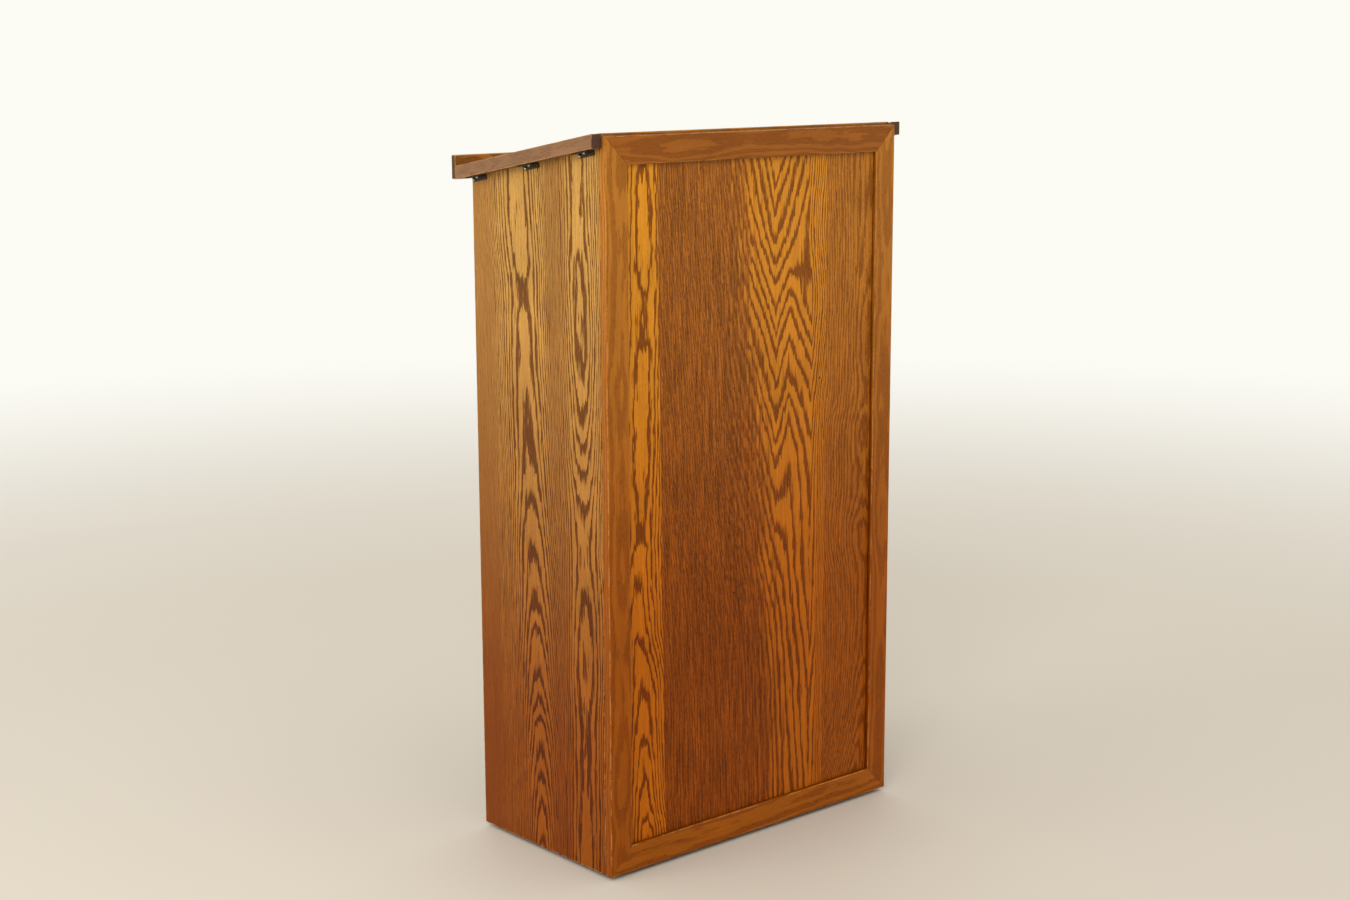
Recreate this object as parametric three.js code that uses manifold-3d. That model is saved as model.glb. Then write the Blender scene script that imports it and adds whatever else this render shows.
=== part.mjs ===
// Presentation lectern: an oak cabinet with a framed front, a sloping desk and open shelves behind.
// Millimetres, +Z up. The audience faces the framed front at -Y and the speaker stands at +Y.
// The origin is on the floor, at the middle of the footprint.
import * as THREE from 'three';
import { mergeVertices } from 'three/addons/utils/BufferGeometryUtils.js';
import Module from 'manifold-3d';

const wasm = await Module();
wasm.setup();

// Driving dimensions
const cabinetWidth = 610;
const caseDepth = 325;          // face of the front frame to the rear edge of the side panels
const overallDepth = 355.5;     // face of the front frame to the outer face of the book stop
const deskHeight = 1141;        // top of the desk board at its front edge
const deskSlope = THREE.MathUtils.degToRad(10);
const boardThickness = 19;      // sides, shelves and desk board
const caseBottom = 7;           // floor to the underside of the cabinet
const fit = 0.3;                // clearance left between neighbouring pieces
const overrun = 2;              // a cutter starts and ends this far outside the material
const arcSegments = 5;
const smallTurnedSides = 10;

// Front frame and its panel
const frameHeight = 1129.5;
const frameWidth = 42;
const frameThickness = 14;
const panelRecess = 7.5;
const panelThickness = 6;
const rabbetWidth = 8;

// Desk rails and book stop
const railThickness = 19;
const railHeight = 20.8;
const railDrop = 1.5;           // desk board's top down to the rails' top
const railSetback = 7.6;        // face of the front frame to the rails' front ends
const stopThickness = 12;
const stopHeight = 37.3;
const stopOuterRadius = 4.5;
const stopInnerRadius = 1.5;

// Case
const bottomTop = 49;
const fixedShelfTop = 400;
const looseShelfTop = 760;
const shelfSetback = 5;         // rear edge of the fixed boards to the rear edge of the side panels
const looseShelfSetback = 13;
const looseShelfSideGap = 2.2;  // leaves room for the pins' collars
const looseShelfFrontGap = 1.5;
const dadoDepth = 6;
const crossRailHeight = 52;
const blockSize = 38;
const blockBottom = 10;
const glideSides = 20;
const glideProfile = [          // radius and height, up to the block
  [9, 0],
  [11.4, 1],
  [12, 2.6],
  [12, 5.6],
  [10.6, 7.2],
  [8, blockBottom - fit],
];

// Shelf pins and the rows of holes for them
const pinRadius = 2.3;
const pinReach = 10;            // length in the side panel, and again out of it
const collarRadius = 4.2;
const collarThickness = 1.4;
const pinColumns = [55, 275];   // from the face of the front frame
const pinPitch = 40;
const pinSteps = [-2, -1, 0, 1, 2];

// Fixing angles under the desk rails
const angleLength = 36;
const angleLeg = 7.5;
const angleFoot = 15;
const angleSheet = 1.5;
const angleStarts = [25, 156, 288];
const angleScrewInset = 5;      // rear end of the angle to its side screw
const angleScrewDrop = 4.9;     // underside of the rail to the side screw
const footScrewInset = 12;      // front end of the angle to its foot screw
const footScrewReach = 9;       // face of the side panel to the foot screw
const footScrewDrop = 0.9;      // sloping foot down to the level screw head
const screwShank = 1.3;
const screwLength = 13;
const screwTip = 2.5;
const screwHead = 2.7;
const headHeight = 2;
const headCurve = [[1, 0], [0.92, 0.5], [0.55, 0.9]];   // shares of the head's radius and height

const materials = {
  sideVeneer: finish('#a8743a', 0.42),
  frontVeneer: finish('#8a5222', 0.42),
  frame: finish('#96602c', 0.38),
  desk: finish('#8a5628', 0.4),
  shelf: finish('#a9773f', 0.5),
  block: finish('#b98f5c', 0.7),
  bronze: finish('#4a3626', 0.45, 0.8),
  screw: finish('#9a9284', 0.35, 1),
  brass: finish('#b59a55', 0.35, 1),
  glide: finish('#3a352f', 0.55),
};

const face = -overallDepth / 2;
const halfWidth = cabinetWidth / 2;
const innerHalf = halfWidth - boardThickness;
const boardFront = frameThickness + fit;
const stopFace = overallDepth - stopThickness;
const uprightThickness = boardThickness / Math.cos(deskSlope);
const railHalf = halfWidth + fit + railThickness;

const lectern = new THREE.Group();
lectern.name = 'lectern';

function finish(color, roughness, metalness = 0) {
  return new THREE.MeshStandardMaterial({ color, roughness, metalness });
}

// Height of the desk board's top at a distance behind the front frame's face
function deskTop(depth) {
  return deskHeight - (depth - boardFront) * Math.tan(deskSlope);
}

function add(name, geometry, material, parent = lectern) {
  const mesh = new THREE.Mesh(geometry, material);
  mesh.name = name;
  parent.add(mesh);
  return mesh;
}

function toSolid(geometry) {
  const bare = geometry.clone();
  bare.deleteAttribute('normal');
  bare.deleteAttribute('uv');
  const merged = mergeVertices(bare, 1e-4);
  return new wasm.Manifold(new wasm.Mesh({
    numProp: 3,
    vertProperties: new Float32Array(merged.attributes.position.array),
    triVerts: new Uint32Array(merged.index.array),
  }));
}

function toGeometry(solid) {
  const { vertProperties, triVerts } = solid.getMesh();
  const geometry = new THREE.BufferGeometry();
  geometry.setAttribute('position', new THREE.BufferAttribute(vertProperties, 3));
  geometry.setIndex(new THREE.BufferAttribute(triVerts, 1));
  geometry.computeVertexNormals();
  return geometry;
}

function cut(geometry, tools) {
  return toGeometry(tools.reduce((solid, tool) => solid.subtract(toSolid(tool)), toSolid(geometry)));
}

function box(low, high) {
  const size = high.map((value, i) => value - low[i]);
  const middle = high.map((value, i) => (value + low[i]) / 2);
  return new THREE.BoxGeometry(...size).translate(...middle);
}

// A cylinder from a point along the X or Z axis, for drilling
function drill(axis, radius, start, length) {
  const hole = new THREE.CylinderGeometry(radius, radius, Math.abs(length), smallTurnedSides);
  if (axis === 'x') {
    hole.rotateZ(Math.PI / 2).translate(length / 2, 0, 0);
  } else {
    hole.rotateX(Math.PI / 2).translate(0, 0, length / 2);
  }
  return hole.translate(...start);
}

// A profile drawn in depth and height, extruded along X from the left to the right
function extrudeAcross(shape, left, right) {
  const depth = new THREE.Vector3(0, 1, 0);
  const height = new THREE.Vector3(0, 0, 1);
  const across = new THREE.Vector3(1, 0, 0);
  const settings = { depth: right - left, bevelEnabled: false, curveSegments: arcSegments };
  return new THREE.ExtrudeGeometry(shape, settings)
    .applyMatrix4(new THREE.Matrix4().makeBasis(depth, height, across))
    .translate(left, face, 0);
}

function outline(points) {
  return new THREE.Shape(points.map(([x, y]) => new THREE.Vector2(x, y)));
}

// A board that follows the desk's slope, with both ends cut plumb
function slopedOutline(front, rear, drop, thickness) {
  return outline([
    [front, deskTop(front) - drop],
    [front, deskTop(front) - drop - thickness],
    [rear, deskTop(rear) - drop - thickness],
    [rear, deskTop(rear) - drop],
  ]);
}

function angleScrewDepth(start) {
  return start + angleLength - angleScrewInset;
}

// Height of the rails' underside at a distance behind the front frame's face
function railUnderside(depth) {
  return deskTop(depth) - railDrop - railHeight;
}

function sidePanel(side) {
  const outer = side * halfWidth;
  const inner = side * innerHalf;
  const open = inner - side * overrun;
  const under = uprightThickness + fit;
  const shape = outline([
    [boardFront, caseBottom],
    [caseDepth, caseBottom],
    [caseDepth, deskTop(caseDepth) - under],
    [boardFront, deskTop(boardFront) - under],
  ]);
  const panel = extrudeAcross(shape, Math.min(outer, inner), Math.max(outer, inner));
  const dados = [bottomTop, fixedShelfTop].map((top) => box(
    [Math.min(open, inner + side * dadoDepth), face + boardFront - overrun, top - boardThickness - fit],
    [Math.max(open, inner + side * dadoDepth), face + caseDepth - shelfSetback + fit, top + fit],
  ));
  const pinDrill = side * (overrun + pinReach + fit);
  const pinHoles = pinSteps.flatMap((step) => pinColumns.map((depth) => drill(
    'x', pinRadius + fit, [open, face + depth, pinHeight() + step * pinPitch], pinDrill,
  )));
  const pilots = angleStarts.map((start) => drill(
    'x', screwShank + fit, [outer + side * overrun, face + angleScrewDepth(start), angleScrewHeight(start)],
    -side * (overrun + screwLength),
  ));
  return cut(panel, [...dados, ...pinHoles, ...pilots]);
}

function pinHeight() {
  return looseShelfTop - boardThickness - fit - pinRadius;
}

function angleScrewHeight(start) {
  return railUnderside(angleScrewDepth(start)) - angleScrewDrop;
}

// One stick of the front frame, mitred at both ends: across its width in x, through it in y, along it in z
function frameStick(length) {
  const rabbet = panelRecess - fit;
  const section = outline([
    [0, 0],
    [frameWidth, 0],
    [frameWidth, rabbet],
    [frameWidth - rabbetWidth, rabbet],
    [frameWidth - rabbetWidth, frameThickness],
    [0, frameThickness],
  ]);
  const stick = new THREE.ExtrudeGeometry(section, { depth: length, bevelEnabled: false });
  const points = stick.attributes.position;
  const mitreGap = fit / Math.SQRT2;
  for (let i = 0; i < points.count; i += 1) {
    const inward = points.getX(i) + mitreGap;
    points.setZ(i, points.getZ(i) < length / 2 ? inward : length - inward);
  }
  stick.computeVertexNormals();
  return stick;
}

function frontFrame() {
  const frame = new THREE.Group();
  frame.position.set(0, face, caseBottom);
  const sticks = [
    ['frame_left_stile', frameHeight, 0, -halfWidth, 0],
    ['frame_right_stile', frameHeight, Math.PI, halfWidth, frameHeight],
    ['frame_top_rail', cabinetWidth, Math.PI / 2, -halfWidth, frameHeight],
    ['frame_bottom_rail', cabinetWidth, -Math.PI / 2, halfWidth, 0],
  ];
  for (const [name, length, turn, x, z] of sticks) {
    const stick = add(name, frameStick(length), materials.frame, frame);
    stick.rotation.y = turn;
    stick.position.set(x, 0, z);
  }
  lectern.add(frame);
}

function frontPanel() {
  const half = halfWidth - frameWidth + rabbetWidth - fit;
  const low = caseBottom + frameWidth - rabbetWidth + fit;
  const high = caseBottom + frameHeight - frameWidth + rabbetWidth - fit;
  add('front_panel', box(
    [-half, face + panelRecess, low],
    [half, face + panelRecess + panelThickness, high],
  ), materials.frontVeneer);
}

function deskBoard() {
  const shape = slopedOutline(boardFront, stopFace - fit, 0, uprightThickness);
  add('desk_board', extrudeAcross(shape, -halfWidth, halfWidth), materials.desk);
}

function deskRail(side) {
  const inner = side * (halfWidth + fit);
  const outer = side * railHalf;
  const shape = slopedOutline(railSetback, stopFace - fit, railDrop, railHeight);
  const rail = extrudeAcross(shape, Math.min(inner, outer), Math.max(inner, outer));
  const pilots = angleStarts.map((start) => {
    const depth = footScrewDepth(start);
    const entry = [footScrewX(side), face + depth, railUnderside(depth) - overrun];
    return drill('z', screwShank + fit, entry, overrun + screwLength);
  });
  return cut(rail, pilots);
}

function footScrewDepth(start) {
  return start + footScrewInset;
}

function footScrewX(side) {
  return side * (halfWidth + fit + footScrewReach);
}

function bookStop() {
  const bottom = railUnderside(stopFace);
  const shape = new THREE.Shape();
  const corners = [
    [stopFace + stopInnerRadius, bottom + stopInnerRadius, stopInnerRadius, Math.PI],
    [overallDepth - stopOuterRadius, bottom + stopOuterRadius, stopOuterRadius, 1.5 * Math.PI],
    [overallDepth - stopOuterRadius, bottom + stopHeight - stopOuterRadius, stopOuterRadius, 0],
    [stopFace + stopInnerRadius, bottom + stopHeight - stopInnerRadius, stopInnerRadius, Math.PI / 2],
  ];
  for (const [x, y, radius, start] of corners) {
    shape.absarc(x, y, radius, start, start + Math.PI / 2, false);
  }
  shape.closePath();
  add('book_stop', extrudeAcross(shape, -railHalf, railHalf), materials.desk);
}

function fixedBoard(name, top, material) {
  const half = innerHalf + dadoDepth - fit;
  add(name, box(
    [-half, face + boardFront, top - boardThickness],
    [half, face + caseDepth - shelfSetback, top],
  ), material);
}

function looseShelf() {
  const half = innerHalf - looseShelfSideGap;
  add('loose_shelf', box(
    [-half, face + boardFront + looseShelfFrontGap, looseShelfTop - boardThickness],
    [half, face + caseDepth - looseShelfSetback, looseShelfTop],
  ), materials.shelf);
}

// A turned piece standing along +Z, from radius and height pairs that start and end on the axis
function turned(profile, segments) {
  const points = profile.map(([radius, height]) => new THREE.Vector2(radius, height));
  return new THREE.LatheGeometry(points, segments).rotateX(Math.PI / 2);
}

function shelfPins() {
  const shape = turned([
    [0, -pinReach],
    [pinRadius, -pinReach],
    [pinRadius, fit],
    [collarRadius, fit],
    [collarRadius, fit + collarThickness],
    [pinRadius, fit + collarThickness],
    [pinRadius, pinReach],
    [0, pinReach],
  ], smallTurnedSides);
  for (const [sideName, side] of [['left', -1], ['right', 1]]) {
    for (const [i, depth] of pinColumns.entries()) {
      const pin = add(`shelf_pin_${sideName}_${['front', 'rear'][i]}`, shape, materials.brass);
      pin.position.set(side * innerHalf, face + depth, pinHeight());
      pin.rotation.y = -side * Math.PI / 2;
    }
  }
}

function crossRails() {
  const half = innerHalf - fit;
  const rear = face + caseDepth;
  const underDesk = deskTop(caseDepth) - uprightThickness - fit;
  add('rear_top_rail', box(
    [-half, rear - boardThickness, underDesk - crossRailHeight],
    [half, rear, underDesk],
  ), materials.shelf);
  add('rear_toe_rail', box(
    [-half, rear - boardThickness - shelfSetback, caseBottom],
    [half, rear - shelfSetback, bottomTop - boardThickness - fit],
  ), materials.shelf);
}

// A glue block in each bottom corner, with a nailed glide under it
function cornerFeet() {
  const frontStart = face + boardFront;
  const rearStart = face + caseDepth - shelfSetback - boardThickness - fit - blockSize;
  const blockTop = bottomTop - boardThickness - fit;
  const glide = turned([[0, 0], ...glideProfile, [0, blockBottom - fit]], glideSides);
  for (const [sideName, side] of [['left', -1], ['right', 1]]) {
    for (const [endName, start] of [['front', frontStart], ['rear', rearStart]]) {
      const x = side * (innerHalf - fit - blockSize / 2);
      const y = start + blockSize / 2;
      const block = new THREE.BoxGeometry(blockSize, blockSize, blockTop - blockBottom);
      add(`corner_block_${sideName}_${endName}`, block, materials.block)
        .position.set(x, y, (blockTop + blockBottom) / 2);
      add(`glide_${sideName}_${endName}`, glide, materials.glide).position.set(x, y, 0);
    }
  }
}

// A pressed angle under a desk rail: its foot lies under the rail and its leg down the side panel
function fixingAngle(side, start) {
  const section = outline([
    [0, 0],
    [side * angleFoot, 0],
    [side * angleFoot, -angleSheet],
    [side * angleSheet, -angleSheet],
    [side * angleSheet, -angleLeg],
    [0, -angleLeg],
  ]);
  const length = angleLength / Math.cos(deskSlope) - 2 * fit;
  const bar = new THREE.ExtrudeGeometry(section, { depth: length, bevelEnabled: false })
    .rotateX(Math.PI / 2)
    .translate(side * (halfWidth + fit), length, -fit)
    .rotateX(-deskSlope)
    .translate(0, face + start, railUnderside(start));
  const through = overrun + angleSheet + fit + overrun;
  const sideDepth = angleScrewDepth(start);
  const sideEntry = [side * (halfWidth - overrun), face + sideDepth, angleScrewHeight(start)];
  const sideHole = drill('x', screwShank + fit, sideEntry, side * through);
  const footDepth = footScrewDepth(start);
  const footEntry = [footScrewX(side), face + footDepth, railUnderside(footDepth) + overrun];
  const footHole = drill('z', screwShank + fit, footEntry, -through);
  return cut(bar, [sideHole, footHole]);
}

function fixings() {
  const screw = turned([
    [0, -screwLength],
    [screwShank, -screwLength + screwTip],
    [screwShank, 0],
    ...headCurve.map(([radius, height]) => [screwHead * radius, headHeight * height]),
    [0, headHeight],
  ], smallTurnedSides);
  for (const [sideName, side] of [['left', -1], ['right', 1]]) {
    for (const [i, start] of angleStarts.entries()) {
      const suffix = `${sideName}_${i + 1}`;
      add(`fixing_angle_${suffix}`, fixingAngle(side, start), materials.bronze);
      const sideScrew = add(`side_screw_${suffix}`, screw, materials.screw);
      const headSeat = halfWidth + fit + angleSheet + fit;
      sideScrew.position.set(side * headSeat, face + angleScrewDepth(start), angleScrewHeight(start));
      sideScrew.rotation.y = side * Math.PI / 2;
      const footDepth = footScrewDepth(start);
      const footScrew = add(`foot_screw_${suffix}`, screw, materials.screw);
      const footSeat = railUnderside(footDepth) - (angleSheet + fit) / Math.cos(deskSlope) - footScrewDrop;
      footScrew.position.set(footScrewX(side), face + footDepth, footSeat);
      footScrew.rotation.x = Math.PI;
    }
  }
}

frontFrame();
frontPanel();
add('left_side_panel', sidePanel(-1), materials.sideVeneer);
add('right_side_panel', sidePanel(1), materials.sideVeneer);
deskBoard();
add('desk_rail_left', deskRail(-1), materials.desk);
add('desk_rail_right', deskRail(1), materials.desk);
bookStop();
fixedBoard('bottom_board', bottomTop, materials.shelf);
fixedBoard('fixed_shelf', fixedShelfTop, materials.shelf);
looseShelf();
shelfPins();
crossRails();
cornerFeet();
fixings();

export default lectern;
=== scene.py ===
import math

import bpy
from mathutils import Matrix, Vector


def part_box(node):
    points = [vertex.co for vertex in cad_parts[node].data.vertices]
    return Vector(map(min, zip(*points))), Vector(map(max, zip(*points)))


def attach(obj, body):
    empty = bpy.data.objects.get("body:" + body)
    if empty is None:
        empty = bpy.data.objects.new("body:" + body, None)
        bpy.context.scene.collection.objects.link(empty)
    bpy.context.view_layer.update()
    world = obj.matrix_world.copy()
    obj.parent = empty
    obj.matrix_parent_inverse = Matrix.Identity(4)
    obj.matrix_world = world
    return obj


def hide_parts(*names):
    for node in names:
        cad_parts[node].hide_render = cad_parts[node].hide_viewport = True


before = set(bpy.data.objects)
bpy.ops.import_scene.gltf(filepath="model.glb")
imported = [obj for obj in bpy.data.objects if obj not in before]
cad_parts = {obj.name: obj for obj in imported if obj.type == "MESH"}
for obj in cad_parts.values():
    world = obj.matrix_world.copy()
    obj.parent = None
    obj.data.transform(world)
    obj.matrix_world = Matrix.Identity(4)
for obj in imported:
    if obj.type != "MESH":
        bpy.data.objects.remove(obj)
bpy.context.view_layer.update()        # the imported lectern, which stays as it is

deskSlope = math.radians(10)
print("frame loaded:", len(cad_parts), "nodes")


class Wire:  # a socket in a material being built, so that shader maths reads as maths
    def __init__(self, paint, socket):
        self.paint = paint
        self.socket = socket

    def calc(self, operation, *others):
        return self.paint.add("Math", {"operation": operation}, [self, *others])

    def __add__(self, other):
        return self.calc("ADD", other)

    def __sub__(self, other):
        return self.calc("SUBTRACT", other)

    def __rsub__(self, other):
        return self.paint.add("Math", {"operation": "SUBTRACT"}, [other, self])

    def __mul__(self, other):
        return self.calc("MULTIPLY", other)

    def __truediv__(self, other):
        return self.calc("DIVIDE", other)

    def __pow__(self, other):
        return self.calc("POWER", other)

    def __abs__(self):
        return self.calc("ABSOLUTE")

    def least(self, other):
        return self.calc("MINIMUM", other)

    def most(self, other):
        return self.calc("MAXIMUM", other)

    def ramped(self, start, end):
        # eases from 0 to 1 as the value goes from start to end
        settings = {"interpolation_type": "SMOOTHSTEP"}
        return self.paint.add("MapRange", settings, [self, start, end, 0.0, 1.0])

    __radd__ = __add__
    __rmul__ = __mul__


class Paint:  # one material and the nodes in it
    def __init__(self, name):
        self.material = bpy.data.materials.new(name)
        self.material.use_nodes = True
        self.tree = self.material.node_tree
        self.tree.nodes.clear()

    def add(self, kind, settings, inputs, output=0):
        node = self.tree.nodes.new("ShaderNode" + kind)
        for key, value in settings.items():
            if key == "curve":
                self.bend(node, *value)
            else:
                setattr(node, key, value)
        named = inputs.items() if isinstance(inputs, dict) else enumerate(inputs)
        for key, value in named:
            if isinstance(value, Wire):
                self.tree.links.new(value.socket, node.inputs[key])
            else:
                node.inputs[key].default_value = value
        return Wire(self, node.outputs[output] if node.outputs else None)

    def bend(self, node, points, handle):
        line = node.mapping.curves[0]
        for x, y in points[1:-1]:
            line.points.new(x, y)
        for point, (x, y) in zip(line.points, points):
            point.location = (x, y)
            point.handle_type = handle
        node.mapping.update()

    def place(self):
        # object coordinates in millimetres
        where = self.add("TexCoord", {}, {}, "Object")
        parts = [self.add("SeparateXYZ", {}, [where], i) for i in range(3)]
        return [part * 1000 for part in parts]

    def facing(self, axis):
        # how squarely the surface faces along an axis, 0 to 1
        normal = self.add("TexCoord", {}, {}, "Normal")
        return abs(self.add("SeparateXYZ", {}, [normal], "xyz".index(axis)))

    def curve(self, value, points, handle="AUTO_CLAMPED"):
        # a smooth or pointed line through given (value, result) points
        xs = [x for x, y in points]
        ys = [y for x, y in points]
        wide = xs[-1] - xs[0]
        tall = max(ys) - min(ys)
        flat = [((x - xs[0]) / wide, (y - min(ys)) / tall) for x, y in points]
        line = self.add("FloatCurve", {"curve": (flat, handle)}, [1.0, (value - xs[0]) / wide])
        return line * tall + min(ys)

    def noise(self, x, y, z, detail=2.0, rough=0.5):
        spot = self.add("CombineXYZ", {}, [x, y, z])
        sizes = {"Vector": spot, "Scale": 1.0, "Detail": detail, "Roughness": rough}
        return self.add("TexNoise", {}, sizes)

    def scatter(self, value):
        # an even random number for each whole value
        return self.add("TexWhiteNoise", {"noise_dimensions": "1D"}, {"W": value})

    def blend(self, share, first, second, how="MIX"):
        settings = {"data_type": "RGBA", "blend_type": how}
        return self.add("Mix", settings, {0: share, 6: first, 7: second}, 2)

    def shade(self, colour, amount):
        # colour times a value
        grey = self.add("CombineColor", {}, [amount, amount, amount])
        return self.blend(1.0, colour, grey, "MULTIPLY")

    def finish(self, colour, roughness, height, sheen):
        bump = self.add("Bump", {}, {
            "Strength": sheen.get("bump", 0.4), "Distance": sheen.get("relief", 0.0002), "Height": height,
        })
        surface = {socket: value for socket, value in sheen.items() if socket not in ("bump", "relief")}
        surface.update({"Base Color": colour, "Roughness": roughness, "Normal": bump})
        shader = self.add("BsdfPrincipled", {}, surface)
        self.add("OutputMaterial", {}, {"Surface": shader})
        return self.material


def tint(red, green, blue):
    # a colour as seen on a screen, 0 to 255, made linear
    def linear(part):
        part = part / 255
        return part / 12.92 if part <= 0.04045 else ((part + 0.055) / 1.055) ** 2.4
    return (linear(red), linear(green), linear(blue), 1.0)


oakSheen = {
    "Coat Weight": 0.03, "Coat Roughness": 0.22, "Specular IOR Level": 0.13,
    "Specular Tint": (1.0, 0.72, 0.3, 1.0), "bump": 0.35, "relief": 0.00025,
}
fibres = {  # width and length in millimetres
    "vessel": (0.55, 9), "fray": (1.6, 26), "streak": (3.2, 90), "broad": (4.5, 55), "gold": (5, 75),
    "ragged": (9, 130),
}
waves = {"slow": (45, 170), "quick": (14, 38)}
ringDepth = 0.12  # rings cut for each millimetre into the board


def grainPlace(p, axes, tilt=0.0):
    # millimetres across the fibres, along them and through the board
    x, y, z = p.place()
    if tilt:
        y, z = (y * math.cos(tilt) - z * math.sin(tilt), y * math.sin(tilt) + z * math.cos(tilt))
    found = {"x": x, "y": y, "z": z}
    return [found[axis] for axis in axes]


def fibre(p, grain, kind, seed, detail=2.0):
    # thin long noise that follows the fibres
    across, along, through = grain
    width, length = fibres[kind]
    return p.noise(across / width + seed, along / length, through / width, detail)


def wander(p, grain, seed, reach):
    # the fibres drift from side to side, in slow waves and in quicker ones
    across, along, through = grain
    wide, long = waves["slow"]
    slow = p.noise(across / wide + seed, along / long, through / wide, 1.0)
    wide, long = waves["quick"]
    quick = p.noise(across / wide, along / long + seed, through / wide, 1.0)
    return [across + (slow - 0.5) * (reach * 2) + (quick - 0.5) * (reach * 0.8), along, through]


def cathedral(p, grain, column):
    # growth rings cut flat: arches where the depth under the face changes along the tree
    across, along, through = grain
    centre = p.curve(along, column["centre"])
    depth = p.curve(along, column["depth"])
    aside = abs(across - centre) / column["pitch"]
    aside = aside * (aside * column["squeeze"] + 1)  # the lines crowd together further out
    return (aside * aside + depth * depth) ** 0.5 + through * ringDepth


def flame(p, grain, leaf):
    # growth rings that rise and fall across a leaf in long pointed flames, which change on the way up
    across, along, through = grain
    top, middle, foot = [p.curve(across, leaf[part], "VECTOR") for part in ("top", "middle", "foot")]
    rings = middle + (top - middle) * along.ramped(*leaf["rising"])
    rings = rings + (foot - middle) * along.ramped(*leaf["falling"])
    return rings + p.curve(along, leaf["along"]) + through * ringDepth


def stickRings(p, grain, rings):
    # growth rings round a pith that lies beside the stick
    across, along, through = grain
    sway = p.noise(along / 260 + rings["seed"], 0.3, 0.7, 1.0)
    rise = p.noise(along / 200, 5.2, rings["seed"], 2.0)
    aside = across - rings["pith"][0] + (sway - 0.5) * rings["sway"]
    under = through - rings["pith"][1] + (rise - 0.5) * rings["rise"]
    return (aside * aside + under * under) ** 0.5 / rings["pitch"]


def ringTone(p, count, grain, look):
    # 1 in the dark open-pored early wood of each ring, 0 in the late wood
    seed = look["seed"]
    uneven = p.noise(count * 0.55, seed, grain[1] / 300, 1.0)
    broad = fibre(p, grain, "broad", seed + 5)
    fray = fibre(p, grain, "fray", seed, 3.0)
    turn = count + (uneven - 0.5) * look.get("uneven", 0.8)
    turn = turn + (broad - 0.5) * look.get("broad", look["fray"]) + (fray - 0.5) * look["fray"]
    width = (uneven - 0.5) * 0.3 + (broad - 0.5) * 0.3  # some rings hold more early wood than others
    phase = turn.calc("FRACT") + width
    fading = phase.ramped(look["early"] + 0.08, look["early"] - 0.14)
    starting = phase.ramped(0.94, 1.0)
    return fading.most(starting)


def oakColour(p, count, grain, look):
    # stained oak: late and early wood, pores, and slow changes of tone
    seed = look["seed"]
    early = ringTone(p, count, grain, look)
    vessel = fibre(p, grain, "vessel", seed + 3)
    pores = vessel.ramped(0.5, 0.66) * (early * 0.75 + 0.25)
    streak = fibre(p, grain, "streak", seed + 7)
    fleck = p.noise(grain[0] / 2.4 + seed, grain[1] / 6, grain[2] / 2.4, 2.0)
    cloud = p.noise(grain[0] / 70 + seed, grain[1] / 130, grain[2] / 70, 2.0)
    colour = p.blend(early * look.get("contrast", 0.9), tint(*look["late"]), tint(*look["dark"]))
    colour = p.blend(pores * 0.5, colour, tint(*look["pore"]))
    mottle = look.get("mottle", 0.3)
    tone = 1 + (streak - 0.5) * look.get("streaks", 0.6)
    tone = tone + (fleck - 0.5) * mottle + (cloud - 0.5) * 0.35
    return p.shade(colour, tone), early, pores


def edgeGap(p, low, high, tilt=0.0):
    # millimetres from the surface point to the nearest edge of a box
    gaps = []
    for wire, start, end in zip(grainPlace(p, "xyz", tilt), low, high):
        gaps.append((end - start) / 2 - abs(wire - (start + end) / 2))
    a, b, c = gaps
    return a.least(b).most(a.most(b).least(c))


# pale edges: real wear, with a painted highlight along the edge in the same colour
edgeWearAndGlintLook = {"reach": 2.0, "full": 0.2, "share": 0.5, "tint": (196, 146, 84)}  # millimetres from the edge


def edgeWearAndGlint(p, grain, gap, seed):
    # lacquer rubbed through along an edge, in broken stretches; its pale colour is also a painted highlight
    # along the edge
    across, along, through = grain
    broken = p.noise(across / 9 + seed, along / 24, through / 9, 3.0)
    fine = p.noise(across / 2 + seed, along / 3, through / 2, 2.0)
    near = gap.ramped(edgeWearAndGlintLook["reach"], edgeWearAndGlintLook["full"])
    return near * (broken + (fine - 0.5) * 0.5).ramped(0.42, 0.6)


# painted shade: the colour turns fuller and redder towards the floor, standing in for light that falls off
# lower down and warm light bounced up from below
frontFloorShade = {"from": 1100, "to": 300, "share": (0.68, 0.43, 0.14, 1.0)}
sideFloorShade = {"from": 1150, "to": 100, "share": (0.54, 0.235, 0.03, 1.0)}


def polished(p, colour, early, pores, grain, seed, wearAndGlint=None, floorShade=frontFloorShade):
    # the lacquer over the stained wood, with painted shade towards the floor and, on worn edges, a painted
    # highlight
    smear = p.noise(grain[0] / 35 + seed, grain[1] / 60, grain[2] / 35, 3.0)
    roughness = 0.38 + early * 0.08 + pores * 0.12 + (smear - 0.5) * 0.22
    height = 1 - early * 0.35 - pores * 0.65
    # painted shade: darker and redder towards the floor
    low = p.place()[2].ramped(floorShade["from"], floorShade["to"])
    floorShadeTint = p.blend(low, (1.0, 1.0, 1.0, 1.0), floorShade["share"])
    colour = p.blend(1.0, colour, floorShadeTint, "MULTIPLY")
    if wearAndGlint is not None:
        # pale worn edges, partly a painted highlight
        colour = p.blend(wearAndGlint * edgeWearAndGlintLook["share"], colour, tint(*edgeWearAndGlintLook["tint"]))
        roughness = roughness + wearAndGlint * 0.15
    return p.finish(colour, roughness, height, oakSheen)


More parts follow.
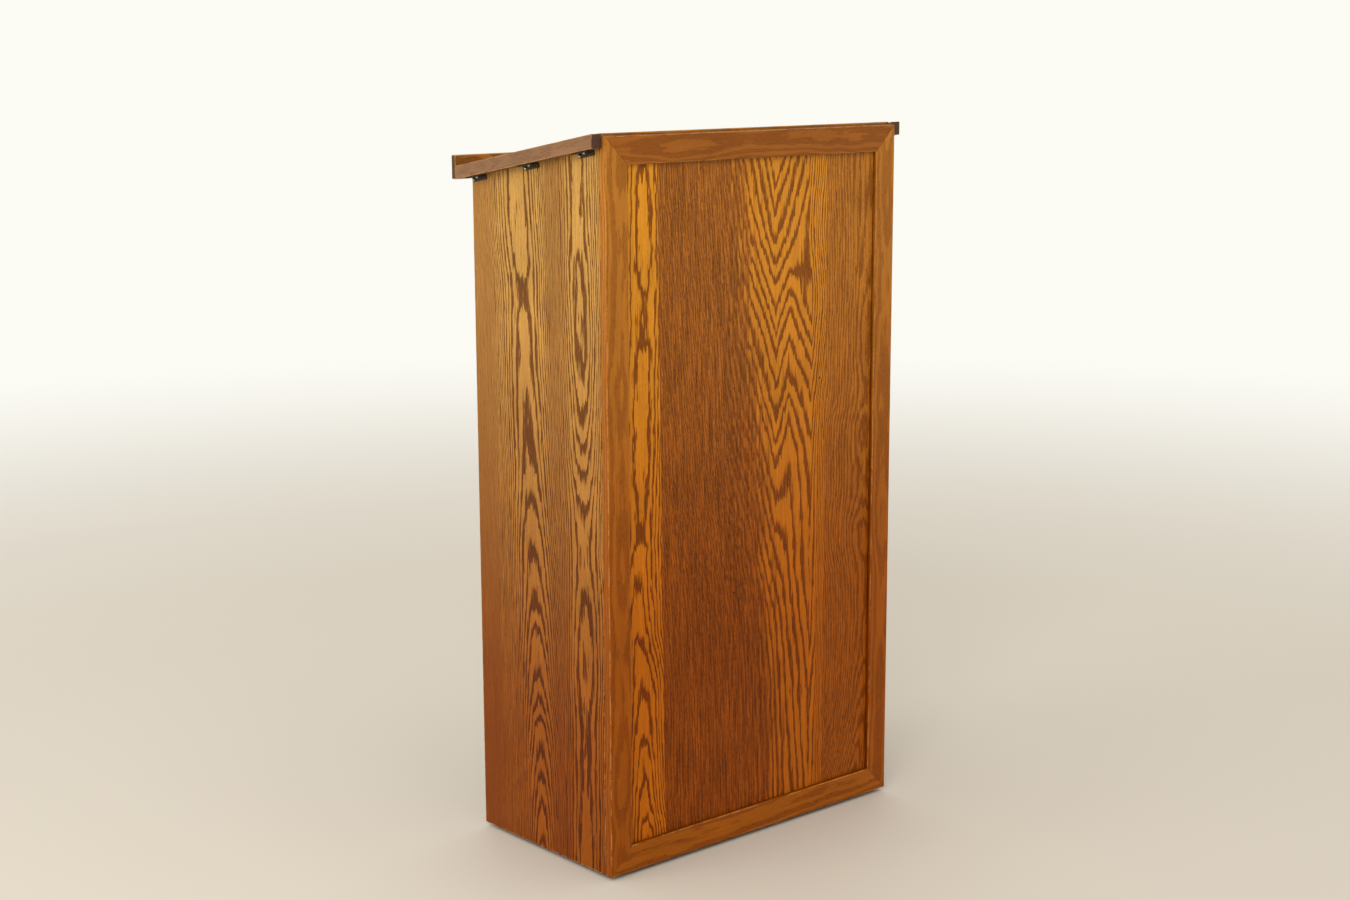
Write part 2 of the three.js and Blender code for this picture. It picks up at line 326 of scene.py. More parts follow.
def spanOf(node, tilt=0.0):
    # the lowest and highest corner of a node in millimetres, in axes that may follow the desk's slope
    found = []
    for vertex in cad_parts[node].data.vertices:
        x, y, z = [part * 1000 for part in vertex.co]
        found.append((
            x,
            y * math.cos(tilt) - z * math.sin(tilt),
            y * math.sin(tilt) + z * math.cos(tilt),
        ))
    return [min(part) for part in zip(*found)], [max(part) for part in zip(*found)]


def fit(piece, material, body, slot, *nodes):
    # gives a finished piece its material and its place on the lectern
    piece.data.materials.clear()
    piece.data.materials.append(material)
    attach(piece, body)
    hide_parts(*nodes)
    return piece


def activate(piece):
    bpy.ops.object.select_all(action="DESELECT")
    piece.select_set(True)
    bpy.context.view_layer.objects.active = piece


meshRules = {  # metres, apart from the two angles
    "merge": 0.00001, "flat": math.radians(2), "smooth": math.radians(35), "touch": 0.0001,
    "outside": 0.0004, "shortest": 0.02,
}
edgeEase = {"side": 0.0007, "frame": 0.0012, "desk": 0.0014, "shelf": 0.001}  # metres


def smoothed(piece):
    activate(piece)
    bpy.ops.object.shade_smooth_by_angle(angle=meshRules["smooth"])
    return piece


def addPiece(name, mesh):
    piece = bpy.data.objects.new(name, mesh)
    bpy.context.scene.collection.objects.link(piece)
    return piece


def finishEdges(piece, width, segments, limit, angle=50):
    # rounds the edges over and keeps the flats flat
    rounding = piece.modifiers.new("rounding", "BEVEL")
    rounding.limit_method = limit
    rounding.angle_limit = math.radians(angle)
    rounding.width = width
    rounding.segments = segments
    even = piece.modifiers.new("even", "WEIGHTED_NORMAL")
    even.keep_sharp = True
    smoothed(piece)
    bpy.ops.object.modifier_apply(modifier=rounding.name)
    bpy.ops.object.modifier_apply(modifier=even.name)


def joinedCopy(name, node):
    # the node's own shape as a new piece, its loose triangles joined into whole faces
    piece = addPiece(name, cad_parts[node].data.copy())
    activate(piece)
    bpy.ops.object.mode_set(mode="EDIT")
    bpy.ops.mesh.select_all(action="SELECT")
    bpy.ops.mesh.remove_doubles(threshold=meshRules["merge"])
    bpy.ops.mesh.dissolve_limited(angle_limit=meshRules["flat"])
    bpy.ops.object.mode_set(mode="OBJECT")
    return piece


def easedCopy(name, node, material, slot, ease, body="cabinet"):
    # the node's own shape with its long outer edges rounded over
    piece = fit(joinedCopy(name, node), material, body, slot, node)
    low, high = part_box(node)
    weight = piece.data.attributes.new("bevel_weight_edge", "FLOAT", "EDGE")
    for edge in piece.data.edges:
        a, b = [piece.data.vertices[i].co for i in edge.vertices]
        middle = (a + b) / 2
        gaps = [min(middle[i] - low[i], high[i] - middle[i]) for i in range(3)]
        outside = sum(gap < meshRules["outside"] for gap in gaps)
        sloping = abs((a - b).normalized().y) > 0.5 and abs(a.z - b.z) > 0.01
        kept = (a - b).length > meshRules["shortest"] and (outside >= 2 or sloping)
        weight.data[edge.index].value = float(kept)
    finishEdges(piece, ease, 3, "WEIGHT")


sideColumns = [
    {  # arches near the front edge, with a long oval in the upper half
        "centre": [(0, -116), (250, -118), (420, -120), (560, -118), (720, -118), (900, -115), (1130, -110)],
        "depth": [
            (0, 12.2), (120, 12.5), (230, 12.7), (290, 12.3), (335, 11.95), (400, 12.2), (480, 13.05),
            (507, 13.25), (535, 13.1), (610, 12.1), (655, 11.1), (710, 10.1), (770, 9.2), (795, 8.8),
            (830, 8.4), (880, 8.25), (940, 8.4), (970, 8.8), (1005, 9.2), (1130, 9.35),
        ],
        "pitch": 5.0, "squeeze": 0.035,
    },
    {  # the main column of arches
        "centre": [
            (0, -4), (120, -5), (300, 0), (480, 7), (640, 14), (760, 20), (900, 24), (1000, 32), (1130, 38),
        ],
        "depth": [
            (0, 4.9), (60, 6.1), (115, 7.15), (160, 8.1), (210, 9.15), (240, 10.1), (290, 11.15),
            (355, 12.1), (405, 13.1), (485, 14.1), (550, 15.1), (640, 16.2), (735, 16.5), (790, 16.85),
            (850, 16.9), (880, 17.2), (905, 17.2), (940, 16.85), (1020, 16.75), (1130, 16.85),
        ],
        "pitch": 5.0, "squeeze": 0.03,
    },
]
sideLook = {
    "late": (188, 141, 70), "dark": (99, 53, 14), "pore": (62, 30, 8), "seed": 4.0, "fray": 0.6,
    "early": 0.4, "mottle": 0.4, "drift": 2.6, "farLead": 0.6, "otherSeed": 11,
}
sideBands = {  # millimetres from front to back, where each band fades in and out
    "calm": {"from": (86, 106), "share": 0.45, "tint": (150, 98, 44)},
    "tight": {"from": (-92, -76), "until": (-24, -42), "share": 0.3, "tint": (124, 68, 24)},
}


def sideVeneer(name, node, mirrored):
    p = Paint(name)
    grain = grainPlace(p, "yzx")
    seed = sideLook["seed"] + (sideLook["otherSeed"] if mirrored else 0)
    drifted = wander(p, grain, seed, sideLook["drift"])
    near = cathedral(p, drifted, sideColumns[0])
    far = cathedral(p, drifted, sideColumns[1])
    count = near.least(far - sideLook["farLead"])
    colour, early, pores = oakColour(p, count, grain, {**sideLook, "seed": seed})
    calm = sideBands["calm"]  # the rear strip is quieter
    colour = p.blend(grain[0].ramped(*calm["from"]) * calm["share"], colour, tint(*calm["tint"]))
    tight = sideBands["tight"]  # straight, closer and darker grain
    inside = grain[0].ramped(*tight["from"]) * grain[0].ramped(*tight["until"])
    colour = p.blend(inside * tight["share"], colour, tint(*tight["tint"]))
    gap = edgeGap(p, *spanOf(node))
    return polished(p, colour, early, pores, grain, seed, edgeWearAndGlint(p, grain, gap, seed), sideFloorShade)


frontLooks = {
    "A": {"late": (208, 136, 34), "dark": (118, 58, 12), "pore": (74, 32, 6), "seed": 21.0, "fray": 0.6,
          "early": 0.36, "uneven": 0.3},
    "B": {"late": (160, 95, 32), "dark": (112, 57, 18), "pore": (76, 34, 10), "seed": 33.0, "fray": 1.1,
          "early": 0.5, "mottle": 1.0, "contrast": 0.6, "streaks": 1.8},
    "C": {"late": (202, 130, 36), "dark": (122, 64, 16), "pore": (78, 34, 8), "seed": 33.0, "fray": 0.6,
          "early": 0.38, "broad": 0.35},
    "D": {"late": (178, 112, 38), "dark": (120, 64, 18), "pore": (84, 40, 12), "seed": 57.0, "fray": 0.9,
          "early": 0.45, "contrast": 0.65, "mottle": 0.6, "streaks": 0.8},
}
frontColumns = {
    "A": {
        "centre": [
            (40, -226), (200, -232), (300, -232), (390, -242), (560, -236), (900, -228), (1100, -226),
        ],
        "depth": [
            (40, 3.6), (95, 4.7), (165, 5.7), (225, 6.7), (305, 7.7), (390, 8.8), (500, 9.9), (555, 10.5),
            (605, 10.2), (700, 10.05), (800, 10.12), (840, 10.5), (890, 10.52), (930, 10.2), (1010, 10.05),
            (1085, 10.5),
        ],
        "pitch": 5.0, "squeeze": 0.02,
    },
    "D": {
        "centre": [(40, 236), (300, 262), (560, 248), (800, 262), (1100, 252)],
        "depth": [
            (40, 4.6), (120, 6.2), (210, 8), (300, 9.4), (400, 9.8), (450, 9.2), (510, 10.6), (560, 11.4),
            (640, 10.4), (700, 11.4), (780, 10.6), (900, 11.6), (1100, 13),
        ],
        "pitch": 4.6, "squeeze": 0.0,
    },
}
middleLeaf = {  # the broad leaf: rift grain on the left, pointed flames right of the middle
    "top": [
        (-210, 0), (-60, 31), (-25, 34.6), (10, 37.2), (42, 39.6), (75, 38), (118, 35.2), (135, 32.4),
        (160, 27),
    ],
    "middle": [
        (-210, 0), (-60, 31), (-25, 34.2), (10, 36.4), (47, 38.8), (77, 37), (127, 39.4), (137, 37.6),
        (160, 32.6),
    ],
    "foot": [
        (-210, 0), (-60, 26.5), (-25, 31.5), (10, 36.4), (45, 39.4), (80, 42.2), (127, 45.2), (140, 44),
        (160, 38.5),
    ],
    "rising": (840, 1010), "falling": (720, 300),
    "along": [(40, 0.0), (300, 1.4), (450, 4.1), (600, 7.6), (720, 10.5), (900, 14.8), (1100, 19.0)],
}
goldEdge = [(40, 50), (300, 42), (600, 30), (760, 8), (900, -6), (1100, -14)]
leafJoints = {  # millimetres across the panel; the left joint leans
    "left": -187.4, "lean": -0.0115, "sharp": (-0.3, 0.3), "gold": (-30, 16), "ragged": 150,
    "right": (157.8, 158.4),
}
frontDrift = {"seed": 21.0, "reach": 4.5, "lacquerSeed": 5.0}
curls = {  # small curls in the rings: millimetres, and strengths in rings
    "width": 15, "length": 42, "gold": 0.8, "right": 0.25, "more": 0.8, "between": (30, -70),
}
frontTints = {
    "streak": {"share": 0.45, "tint": (190, 112, 32)},
    "putty": {"share": 0.85, "tint": (58, 30, 14)},
    "backing": {"share": 0.6, "tint": (148, 92, 40)},
}
fillings = [  # nail holes stopped with putty: x, z and radius
    (-43, 740, 1.7), (145, 737, 1.9), (-43, 412, 1.6), (-146, 404, 1.3), (222, 736, 1.2),
]


def stopped(p):
    # 1 where a nail hole is filled
    x, y, z = p.place()
    found = None
    for place, height, radius in fillings:
        away = ((x - place) ** 2 + (z - height) ** 2) ** 0.5
        spot = away.ramped(radius + 0.4, radius - 0.4)
        found = spot if found is None else found.most(spot)
    return found


def tinted(p, share, colour, name):
    # one of the front's own stains laid over its colour
    layer = frontTints[name]
    return p.blend(share * layer["share"], colour, tint(*layer["tint"]))


def leafCounts(p, grain):
    # the ring counts of the four leaves, with small curls that grow towards the left of the broad leaf
    drifted = wander(p, grain, frontDrift["seed"], frontDrift["reach"])
    across, along = grain[:2]
    counts = {leaf: cathedral(p, drifted, column) for leaf, column in frontColumns.items()}
    curl = p.noise(across / curls["width"], along / curls["length"], 2.0, 1.0) - 0.5
    strength = across.ramped(*curls["between"]) * curls["more"] + curls["right"]
    counts["A"] = counts["A"] + curl * curls["gold"]
    counts["B"] = flame(p, drifted, middleLeaf) + curl * strength
    counts["C"] = counts["B"]
    return counts


def frontVeneer():
    p = Paint("frontVeneer")
    grain = grainPlace(p, "xzy")
    across, along, through = grain
    counts = leafCounts(p, grain)
    made = {leaf: oakColour(p, counts[leaf], grain, look) for leaf, look in frontLooks.items()}
    ragged = (fibre(p, grain, "ragged", 8.0, 3.0) - 0.5) * leafJoints["ragged"]
    inC = (across - p.curve(along, goldEdge) + ragged).ramped(*leafJoints["gold"])
    inB = (across - (along * leafJoints["lean"] + leafJoints["left"])).ramped(*leafJoints["sharp"])
    inD = across.ramped(*leafJoints["right"])
    joined = []
    for a, b, c, d in zip(*[made[leaf] for leaf in "ABCD"]):
        mixed = p.blend(inB, a, p.blend(inC, b, c))
        joined.append(p.blend(inD, mixed, d))
    colour, early, pores = joined
    streaks = fibre(p, grain, "gold", 12.0, 3.0).ramped(0.66, 0.74)  # short and golden
    colour = tinted(p, streaks, colour, "streak")
    colour = tinted(p, stopped(p), colour, "putty")
    low, high = spanOf("front_panel")
    middle = (low[1] + high[1]) / 2
    backing = through.ramped(middle - 0.5, middle + 0.5)  # the panel's plainer inner veneer
    colour = tinted(p, backing, colour, "backing")
    return polished(p, colour, early, pores, grain, frontDrift["lacquerSeed"])


staves = {"shift": 70, "apart": 613, "tone": 0.28}  # how much one stave differs from the next


def staved(p, grain, look):
    # a wide board glued up from narrow staves, each cut from another part of the tree
    across, along, through = grain
    number = (across / look["stave"] + look["seed"]).calc("FLOOR")
    chance = p.scatter(number)
    inside = across - (number + 0.5 - look["seed"]) * look["stave"]
    shifted = inside + (chance - 0.5) * staves["shift"]
    return [shifted, along + number * staves["apart"], through], chance


def solidOak(name, node, axes, look, tilt=0.0):
    p = Paint(name)
    grain = grainPlace(p, axes, tilt)
    low, high = spanOf(node, tilt)
    spans = dict(zip("xyz", zip(low, high)))
    centre = sum(spans[axes[0]]) / 2
    face = spans[axes[2]][0]
    chance = None
    if "stave" in look:
        grain, chance = staved(p, grain, look)
        centre = 0
    rings = {
        "seed": look["seed"], "sway": look.get("sway", 26), "rise": look.get("rise", 22),
        "pitch": look["pitch"], "pith": (centre + look["pith"][0], face + look["pith"][1]),
    }
    drifted = wander(p, grain, look["seed"], 1.2)
    colour, early, pores = oakColour(p, stickRings(p, drifted, rings), grain, look)
    if chance is not None:
        colour = p.shade(colour, 1 + (chance - 0.5) * staves["tone"])
    # end grain is darker; the rails' and the book stop's end colours also hold painted shade
    ends = p.facing(axes[1]).ramped(0.6, 0.9)
    endGrain = p.shade(tint(*look.get("end", (104, 62, 28))), 1.25 - early * 0.5)
    colour = p.blend(ends * 0.85, colour, endGrain)
    gap = edgeGap(p, low, high, tilt)
    wearAndGlint = edgeWearAndGlint(p, grain, gap, look["seed"])
    return polished(p, colour, early, pores, grain, look["seed"], wearAndGlint)


frameLook = {
    "late": (176, 111, 38), "dark": (142, 80, 22), "pore": (96, 52, 14), "fray": 0.5, "early": 0.5,
    "contrast": 0.55, "pitch": 5.5, "pith": (6, -34), "mottle": 0.22, "streaks": 0.3,
}
frameSticks = {
    "leftStile": {"node": "frame_left_stile", "axes": "xzy", "seed": 2.0},
    "rightStile": {"node": "frame_right_stile", "axes": "xzy", "seed": 9.0},
    "topRail": {
        "node": "frame_top_rail", "axes": "zxy", "seed": 14.0, "late": (148, 85, 28), "dark": (120, 62, 16),
    },
    "bottomRail": {"node": "frame_bottom_rail", "axes": "zxy", "seed": 19.0, "late": (182, 121, 46)},
}


def makeFront():
    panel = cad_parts["front_panel"]
    panel.data.materials.clear()
    panel.data.materials.append(frontVeneer())
    for name, stick in frameSticks.items():
        look = {**frameLook, **stick}
        material = solidOak(name + "Oak", stick["node"], stick["axes"], look)
        easedCopy(name, stick["node"], material, "frame_oak", edgeEase["frame"])
    print("front made")


def makeSides():
    for side in ("left", "right"):
        name = side + "Side"
        node = side + "_side_panel"
        material = sideVeneer(name + "Veneer", node, side == "right")
        easedCopy(name, node, material, "side_veneer", edgeEase["side"])
    print("sides made")


deskLook = {
    "late": (172, 112, 46), "dark": (116, 66, 24), "pore": (70, 34, 14), "fray": 0.6, "early": 0.45,
    "contrast": 0.7, "pitch": 4.4, "pith": (10, -60), "rise": 40,
}
# painted reflection: the rails are the frame's oak, drawn greyish taupe and low in contrast because the
# white room's sheen on them is painted into their colour; their end colour is dark end grain deepened with
# painted shade
railPaintedSheenLook = {
    **deskLook, "late": (133, 97, 68), "dark": (116, 80, 54), "pore": (88, 58, 38), "contrast": 0.28,
    "pith": (4, -40), "streaks": 0.25, "mottle": 0.15, "end": (60, 42, 38),
}
boardLook = {**deskLook, "stave": 84, "pith": (0, -48), "rise": 13, "sway": 16, "contrast": 0.6}
deskPieces = {
    "deskBoard": {"node": "desk_board", "axes": "yxz", "look": boardLook, "seed": 30.3},
    "leftRail": {"node": "desk_rail_left", "axes": "zyx", "look": railPaintedSheenLook, "seed": 35.0},
    "rightRail": {"node": "desk_rail_right", "axes": "zyx", "look": railPaintedSheenLook, "seed": 41.0},
}
bookStop = {  # metres; the outer face is rounded all round, the inner one along its two long edges
    # the end colour is dark end grain, deepened and greyed with painted shade
    "node": "book_stop", "seed": 47.0, "end": (48, 44, 34),
    "outer": {"radius": 0.0045, "segments": 8, "shortest": 0.0},
    "inner": {"radius": 0.0015, "segments": 4, "shortest": 0.1},
    "others": {"radius": 0.0008, "segments": 2},
}


def bevelEdges(piece, chosen, width, segments):
    # bevels the edges whose two ends pass a test
    bpy.ops.object.mode_set(mode="EDIT")
    bpy.ops.mesh.select_mode(type="EDGE")
    bpy.ops.mesh.select_all(action="DESELECT")
    bpy.ops.object.mode_set(mode="OBJECT")
    for edge in piece.data.edges:
        edge.select = chosen(*[piece.data.vertices[i].co for i in edge.vertices])
    bpy.ops.object.mode_set(mode="EDIT")
    bpy.ops.mesh.bevel(offset=width, segments=segments, affect="EDGES")
    bpy.ops.object.mode_set(mode="OBJECT")


def addBlock(name, low, high):
    bpy.ops.object.select_all(action="DESELECT")
    middle = (low + high) / 2
    bpy.ops.mesh.primitive_cube_add(size=1, location=middle, scale=high - low)
    block = bpy.context.object
    block.name = name
    bpy.ops.object.transform_apply(location=True, rotation=True, scale=True)
    return block


def edgesAt(y, shortest):
    # a test for the edges that lie at one depth and are longer than a length
    def chosen(a, b):
        return (a - b).length > shortest and max(abs(a.y - y), abs(b.y - y)) < meshRules["touch"]
    return chosen


def makeStop():
    low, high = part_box(bookStop["node"])
    stop = addBlock("bookStop", low, high)
    for y, face in ((high.y, bookStop["outer"]), (low.y, bookStop["inner"])):
        bevelEdges(stop, edgesAt(y, face["shortest"]), face["radius"], face["segments"])
    others = bookStop["others"]
    finishEdges(stop, others["radius"], others["segments"], "ANGLE")
    material = solidOak("bookStopOak", bookStop["node"], "zxy", {**deskLook, **bookStop})
    fit(stop, material, "cabinet", "desk_oak", bookStop["node"])


def makeDesk():
    for name, part in deskPieces.items():
        look = {**part["look"], "seed": part["seed"]}
        material = solidOak(name + "Oak", part["node"], part["axes"], look, deskSlope)
        easedCopy(name, part["node"], material, "desk_oak", edgeEase["desk"])
    makeStop()
    print("desk made")


shelfLook = {
    "late": (182, 122, 56), "dark": (124, 70, 26), "pore": (84, 46, 18), "fray": 0.7, "early": 0.45,
    "contrast": 0.7, "pitch": 4.4, "pith": (0, -52), "rise": 14, "sway": 18,
}
shelfPieces = {
    "bottomBoard": {"node": "bottom_board", "seed": 60.1, "axes": "yxz", "stave": 78},
    "fixedShelf": {"node": "fixed_shelf", "seed": 66.4, "axes": "yxz", "stave": 78},
    "looseShelf": {"node": "loose_shelf", "seed": 72.6, "axes": "yxz", "stave": 78, "body": "shelf"},
    "rearTopRail": {"node": "rear_top_rail", "seed": 78.0, "axes": "zxy"},
    "rearToeRail": {"node": "rear_toe_rail", "seed": 84.0, "axes": "zxy"},
}


def makeShelves():
    for name, part in shelfPieces.items():
        look = {**shelfLook, **part}
        material = solidOak(name + "Oak", part["node"], part["axes"], look)
        body = part.get("body", "cabinet")
        easedCopy(name, part["node"], material, "shelf_oak", edgeEase["shelf"], body)
    print("shelves made")


smallFinishes = {
    "bronzedSteel": {
        "colour": (48, 36, 26), "bare": (104, 84, 60), "metal": 0.7, "rough": 0.48, "grain": 2.5,
    },
    "screwSteel": {
        "colour": (176, 168, 150), "bare": (214, 208, 192), "metal": 1.0, "rough": 0.32, "grain": 1.2,
    },
    "brass": {
        "colour": (178, 148, 82), "bare": (206, 178, 112), "metal": 1.0, "rough": 0.34, "grain": 1.6,
    },
    "glidePlastic": {
        "colour": (54, 45, 38), "bare": (86, 76, 66), "metal": 0.0, "rough": 0.5, "grain": 3.0,
    },
}


def rubbed(name):
    # a dulled surface with cloudy tarnish and short rubs
    look = smallFinishes[name]
    p = Paint(name)
    x, y, z = p.place()
    size = look["grain"]
    cloud = p.noise(x / size, y / size, z / size, 3.0)
    rub = p.noise(x / 0.3, y / (size * 2), z / 0.3, 2.0)
    bare = (cloud + (rub - 0.5) * 0.6).ramped(0.5, 0.72)
    colour = p.blend(bare * 0.6, tint(*look["colour"]), tint(*look["bare"]))
    roughness = look["rough"] + (cloud - 0.5) * 0.3 + (rub - 0.5) * 0.12
    return p.finish(colour, roughness, rub, {"Metallic": look["metal"], "bump": 0.15, "relief": 0.00005})


def blockPine():
    # bare softwood with wide soft rings and a smear of glue
    p = Paint("blockPine")
    x, y, z = p.place()
    drift = p.noise(x / 30, y / 30, z / 60, 2.0)
    rings = ((x + y * 0.6) / 4.2 + (drift - 0.5) * 2).calc("FRACT")
    late = rings.ramped(0.45, 0.9) * rings.ramped(1.0, 0.94)
    fuzz = p.noise(x / 0.7, y / 0.7, z / 12, 2.0)
    glue = p.noise(x / 11, y / 11, z / 11 + 4, 2.0).ramped(0.6, 0.68)
    colour = p.blend(late * 0.7, tint(206, 168, 114), tint(168, 118, 66))
    colour = p.shade(colour, 1 + (fuzz - 0.5) * 0.3)
    colour = p.blend(glue * 0.6, colour, tint(150, 120, 70))
    roughness = 0.72 + (fuzz - 0.5) * 0.2 - glue * 0.35
    return p.finish(colour, roughness, fuzz - late * 0.3, {"Specular IOR Level": 0.3, "bump": 0.3})


def turned(name, profile, sides):
    # a disc drawn out along z through pairs of radius and height in millimetres
    bpy.ops.object.select_all(action="DESELECT")
    radius, height = profile[0]
    bpy.ops.mesh.primitive_circle_add(
        vertices=sides, radius=radius / 1000, fill_type="NGON", location=(0, 0, height / 1000),
    )
    piece = bpy.context.object
    piece.name = name
    bpy.ops.object.transform_apply(location=True, rotation=True, scale=True)
    bpy.ops.object.mode_set(mode="EDIT")
    bpy.ops.mesh.select_all(action="SELECT")
    for (oldRadius, oldHeight), (newRadius, newHeight) in zip(profile, profile[1:]):
        lift = (newHeight - oldHeight) / 1000
        grow = newRadius / oldRadius
        bpy.ops.mesh.extrude_region_move(TRANSFORM_OT_translate={"value": (0, 0, lift)})
        bpy.ops.transform.resize(value=(grow, grow, 1), center_override=(0, 0, newHeight / 1000))
    bpy.ops.mesh.select_all(action="SELECT")
    bpy.ops.mesh.normals_make_consistent(inside=False)
    bpy.ops.object.mode_set(mode="OBJECT")
    return smoothed(piece)


def copyTo(master, name, place):
    mesh = master.data.copy()
    mesh.transform(place)
    return addPiece(name, mesh)


def turnedTo(direction, point):
    # carries a piece made along +z to a point, facing a direction
    return Matrix.Translation(point) @ Vector(direction).to_track_quat("Z", "Y").to_matrix().to_4x4()


screw = {
    "profile": [
        (0.3, -13), (1.3, -10.5), (1.3, 0), (2.5, 0), (2.7, 0.2), (2.66, 0.5), (2.45, 1.0),
        (2.05, 1.45), (1.4, 1.8), (0.7, 1.96), (0.25, 2.0),
    ],
    "sides": 20, "headHeight": 0.002, "slotWidth": 0.00075, "slotReach": 0.004, "slotDepth": 0.001,
    "slotTurn": 67,
}
fixingAngle = {"ease": 0.00025, "segments": 2}


def makeScrewMaster():
    master = turned("screw", screw["profile"], screw["sides"])
    depth = screw["slotDepth"]
    top = screw["headHeight"]
    reach = Vector((screw["slotReach"], screw["slotWidth"] / 2, 0))
    cutter = addBlock("slot", Vector((0, 0, top - depth)) - reach, Vector((0, 0, top + depth)) + reach)
    slot = master.modifiers.new("slot", "BOOLEAN")
    slot.operation = "DIFFERENCE"
    slot.solver = "EXACT"
    slot.object = cutter
    activate(master)
    bpy.ops.object.modifier_apply(modifier=slot.name)
    bpy.data.objects.remove(cutter)
    return smoothed(master)


def setScrew(master, steel, name, node, direction, turn):
    # a copy of the screw whose head ends where its node's box does
    low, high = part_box(node)
    out = Vector(direction)
    reach = abs((high - low).dot(out)) / 2 - screw["headHeight"]
    seat = (low + high) / 2 + out * reach
    placed = copyTo(master, name, turnedTo(out, seat) @ Matrix.Rotation(turn, 4, "Z"))
    fit(placed, steel, "cabinet", "screw_steel", node)


def makeFixings():
    steel = rubbed("screwSteel")
    bronze = rubbed("bronzedSteel")
    master = makeScrewMaster()
    for sideName, side in (("left", -1), ("right", 1)):
        for i in (1, 2, 3):
            spot = f"{sideName}_{i}"
            angleNode = "fixing_angle_" + spot
            angle = joinedCopy(f"{sideName}Angle{i}", angleNode)
            finishEdges(angle, fixingAngle["ease"], fixingAngle["segments"], "ANGLE")
            fit(angle, bronze, "cabinet", "bronzed_steel", angleNode)
            turn = math.radians(screw["slotTurn"] * (i + side))
            for kind, direction in (("side", (side, 0, 0)), ("foot", (0, 0, -1))):
                name = f"{sideName}{kind.capitalize()}Screw{i}"
                setScrew(master, steel, name, f"{kind}_screw_{spot}", direction, turn)
    bpy.data.objects.remove(master)
    print("fixings made")


shelfPin = {
    "profile": [
        (1.6, -10), (2.3, -9.2), (2.3, 0.3), (3.9, 0.3), (4.2, 0.6), (4.2, 1.4), (3.9, 1.7), (2.5, 1.7),
        (2.3, 2.0), (2.3, 9.0), (2.1, 9.6), (1.5, 9.9), (0.6, 10),
    ],
    "sides": 28,
}
glide = {
    "profile": [
        (2.4, 1.3), (2.9, 0.1), (3.1, 0), (9, 0), (10.4, 0.35), (11.3, 1.0), (11.8, 1.8), (12, 2.8),
        (12, 5.5), (11.7, 6.4), (10.9, 7.1), (9.2, 7.9), (8, 8.7), (8, 9.7),
    ],
    "sides": 36,
}
cornerBlock = {"chamfer": 0.011, "ease": 0.0006, "segments": 2, "angle": 30}


def innerEdge(corner):
    # a test for the upright edge that faces the middle of the case
    def chosen(a, b):
        return max((a - corner).xy.length, (b - corner).xy.length) < meshRules["touch"]
    return chosen


def makeFeet():
    pine = blockPine()
    plastic = rubbed("glidePlastic")
    master = turned("glide", glide["profile"], glide["sides"])
    for sideName, side in (("left", -1), ("right", 1)):
        for endName, end in (("front", -1), ("rear", 1)):
            spot = f"{sideName}_{endName}"
            name = sideName + endName.capitalize()
            low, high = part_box("corner_block_" + spot)
            block = addBlock(name + "Block", low, high)
            corner = Vector((low.x if side > 0 else high.x, low.y if end > 0 else high.y, 0))
            bevelEdges(block, innerEdge(corner), cornerBlock["chamfer"], 1)
            ease = cornerBlock["ease"]
            finishEdges(block, ease, cornerBlock["segments"], "ANGLE", cornerBlock["angle"])
            fit(block, pine, "cabinet", "block_wood", "corner_block_" + spot)
            low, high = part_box("glide_" + spot)
            middle = (low + high) / 2
            foot = copyTo(master, name + "Glide", Matrix.Translation((middle.x, middle.y, low.z)))
            fit(foot, plastic, "cabinet", "glide_plastic", "glide_" + spot)
    bpy.data.objects.remove(master)
    print("feet made")


def makePins():
    brass = rubbed("brass")
    master = turned("shelfPin", shelfPin["profile"], shelfPin["sides"])
    for sideName, side in (("left", -1), ("right", 1)):
        for endName in ("front", "rear"):
            node = f"shelf_pin_{sideName}_{endName}"
            low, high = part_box(node)
            place = turnedTo((-side, 0, 0), (low + high) / 2)
            pin = copyTo(master, sideName + endName.capitalize() + "Pin", place)
            fit(pin, brass, "cabinet", "brass", node)
    bpy.data.objects.remove(master)
    print("pins made")


studio = {
    "lens": 56.6, "sensor": 36, "place": (-2.266, -2.557, 1.273), "turn": 41.34, "down": 10.94,
    "lean": -0.19, "lampTint": (1.0, 0.98, 0.95), "floorSize": 60,
    "backdropTint": (252, 251, 244), "floorTint": (205, 196, 184), "sweepFrom": 1.3, "sweepTo": 5.5,
}
lamps = {
    "key": {"place": (-2.9, -2.3, 3.1), "aim": (-0.1, 0, 0.95), "size": 1.6, "power": 62},
    "left": {"place": (-3.6, 0.9, 1.9), "aim": (0, 0, 0.9), "size": 1.8, "power": 34},
}


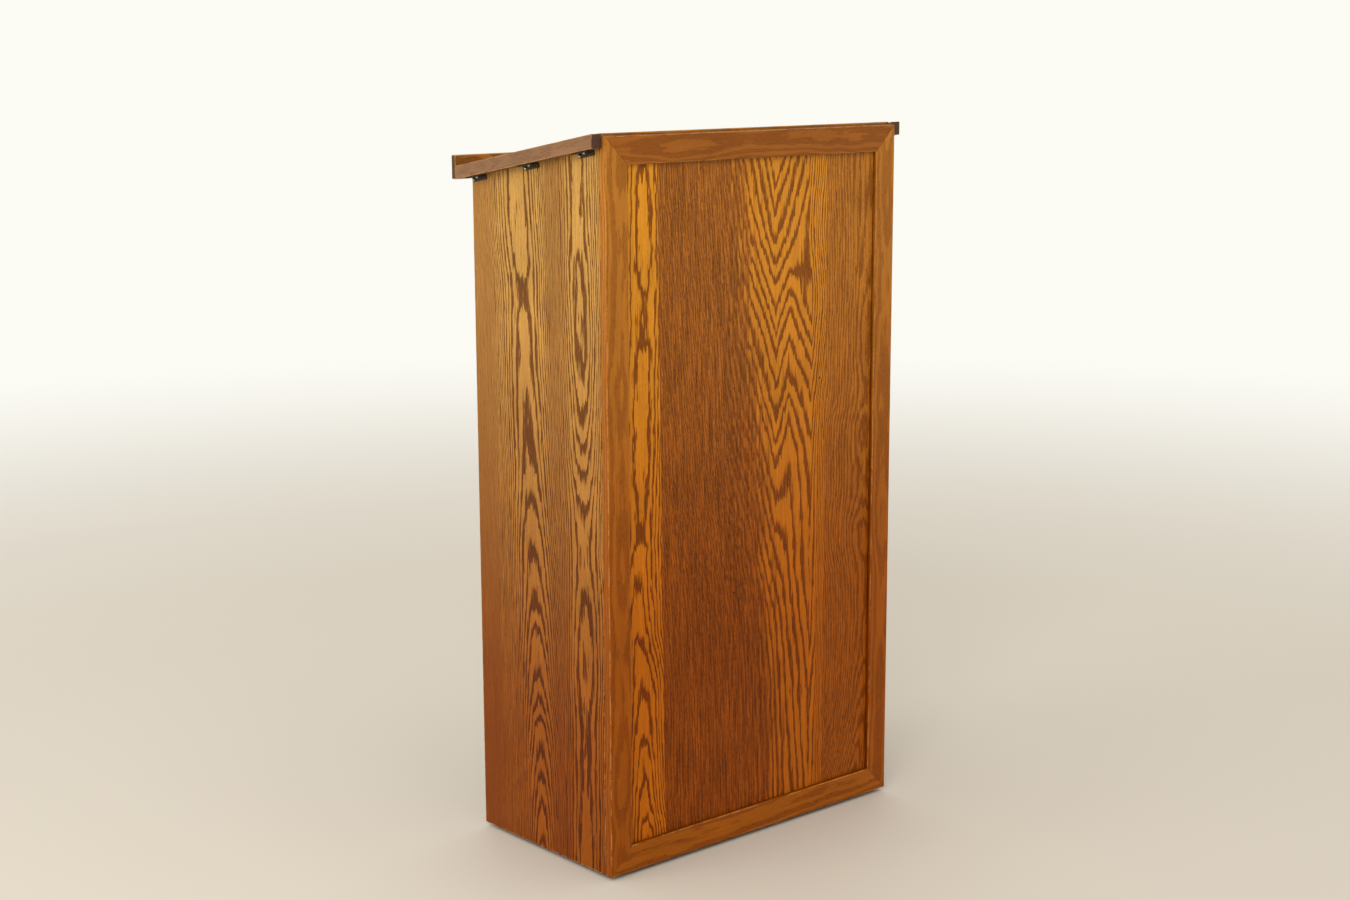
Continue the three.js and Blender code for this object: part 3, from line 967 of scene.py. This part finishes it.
def makeCamera():
    data = bpy.data.cameras.new("camera")
    data.lens = studio["lens"]
    data.sensor_width = studio["sensor"]
    camera = bpy.data.objects.new("camera", data)
    bpy.context.scene.collection.objects.link(camera)
    turn = Matrix.Rotation(-math.radians(studio["turn"]), 4, "Z")
    down = Matrix.Rotation(math.radians(90 - studio["down"]), 4, "X")
    lean = Matrix.Rotation(math.radians(studio["lean"]), 4, "Z")
    camera.matrix_world = Matrix.Translation(studio["place"]) @ turn @ down @ lean
    bpy.context.scene.camera = camera


def makeLamps():
    for name, lamp in lamps.items():
        data = bpy.data.lights.new(name, "AREA")
        data.shape = "SQUARE"
        data.size = lamp["size"]
        data.energy = lamp["power"]
        data.color = studio["lampTint"]
        light = addPiece(name, data)
        light.location = lamp["place"]
        aim = Vector(lamp["aim"]) - Vector(lamp["place"])
        light.rotation_euler = aim.to_track_quat("-Z", "Y").to_euler()


def paleFloor():
    # a pale floor that fades into the backdrop, as a studio's paper sweep does
    p = Paint("paleFloor")
    x, y, z = p.place()
    cloud = p.noise(x / 900, y / 900, z / 900, 2.0)
    tone = p.shade(tint(*studio["floorTint"]), 1 + (cloud - 0.5) * 0.04)
    ground = p.add("BsdfPrincipled", {}, {
        "Base Color": tone, "Roughness": 0.6 + (cloud - 0.5) * 0.1, "Specular IOR Level": 0.3,
    })
    paper = p.add("Emission", {}, {"Color": tint(*studio["backdropTint"])})
    away = (x * x + y * y) ** 0.5 / 1000
    mixed = p.add("MixShader", {}, [away.ramped(studio["sweepFrom"], studio["sweepTo"]), ground, paper])
    p.add("OutputMaterial", {}, {"Surface": mixed})
    return p.material


def makeRoom():
    bpy.ops.object.select_all(action="DESELECT")
    bpy.ops.mesh.primitive_plane_add(size=studio["floorSize"])
    floor = bpy.context.object
    floor.name = "floor"
    floor.data.materials.append(paleFloor())
    world = bpy.data.worlds.new("softRoom")
    bpy.context.scene.world = world
    world.use_nodes = True
    backdrop = world.node_tree.nodes["Background"]
    backdrop.inputs["Color"].default_value = tint(*studio["backdropTint"])
    makeLamps()
    bpy.context.scene.view_settings.view_transform = "Standard"
    print("room made")


makeSides()
makeFront()
makeDesk()
makeShelves()
makeFixings()
makeFeet()
makePins()
makeCamera()
makeRoom()
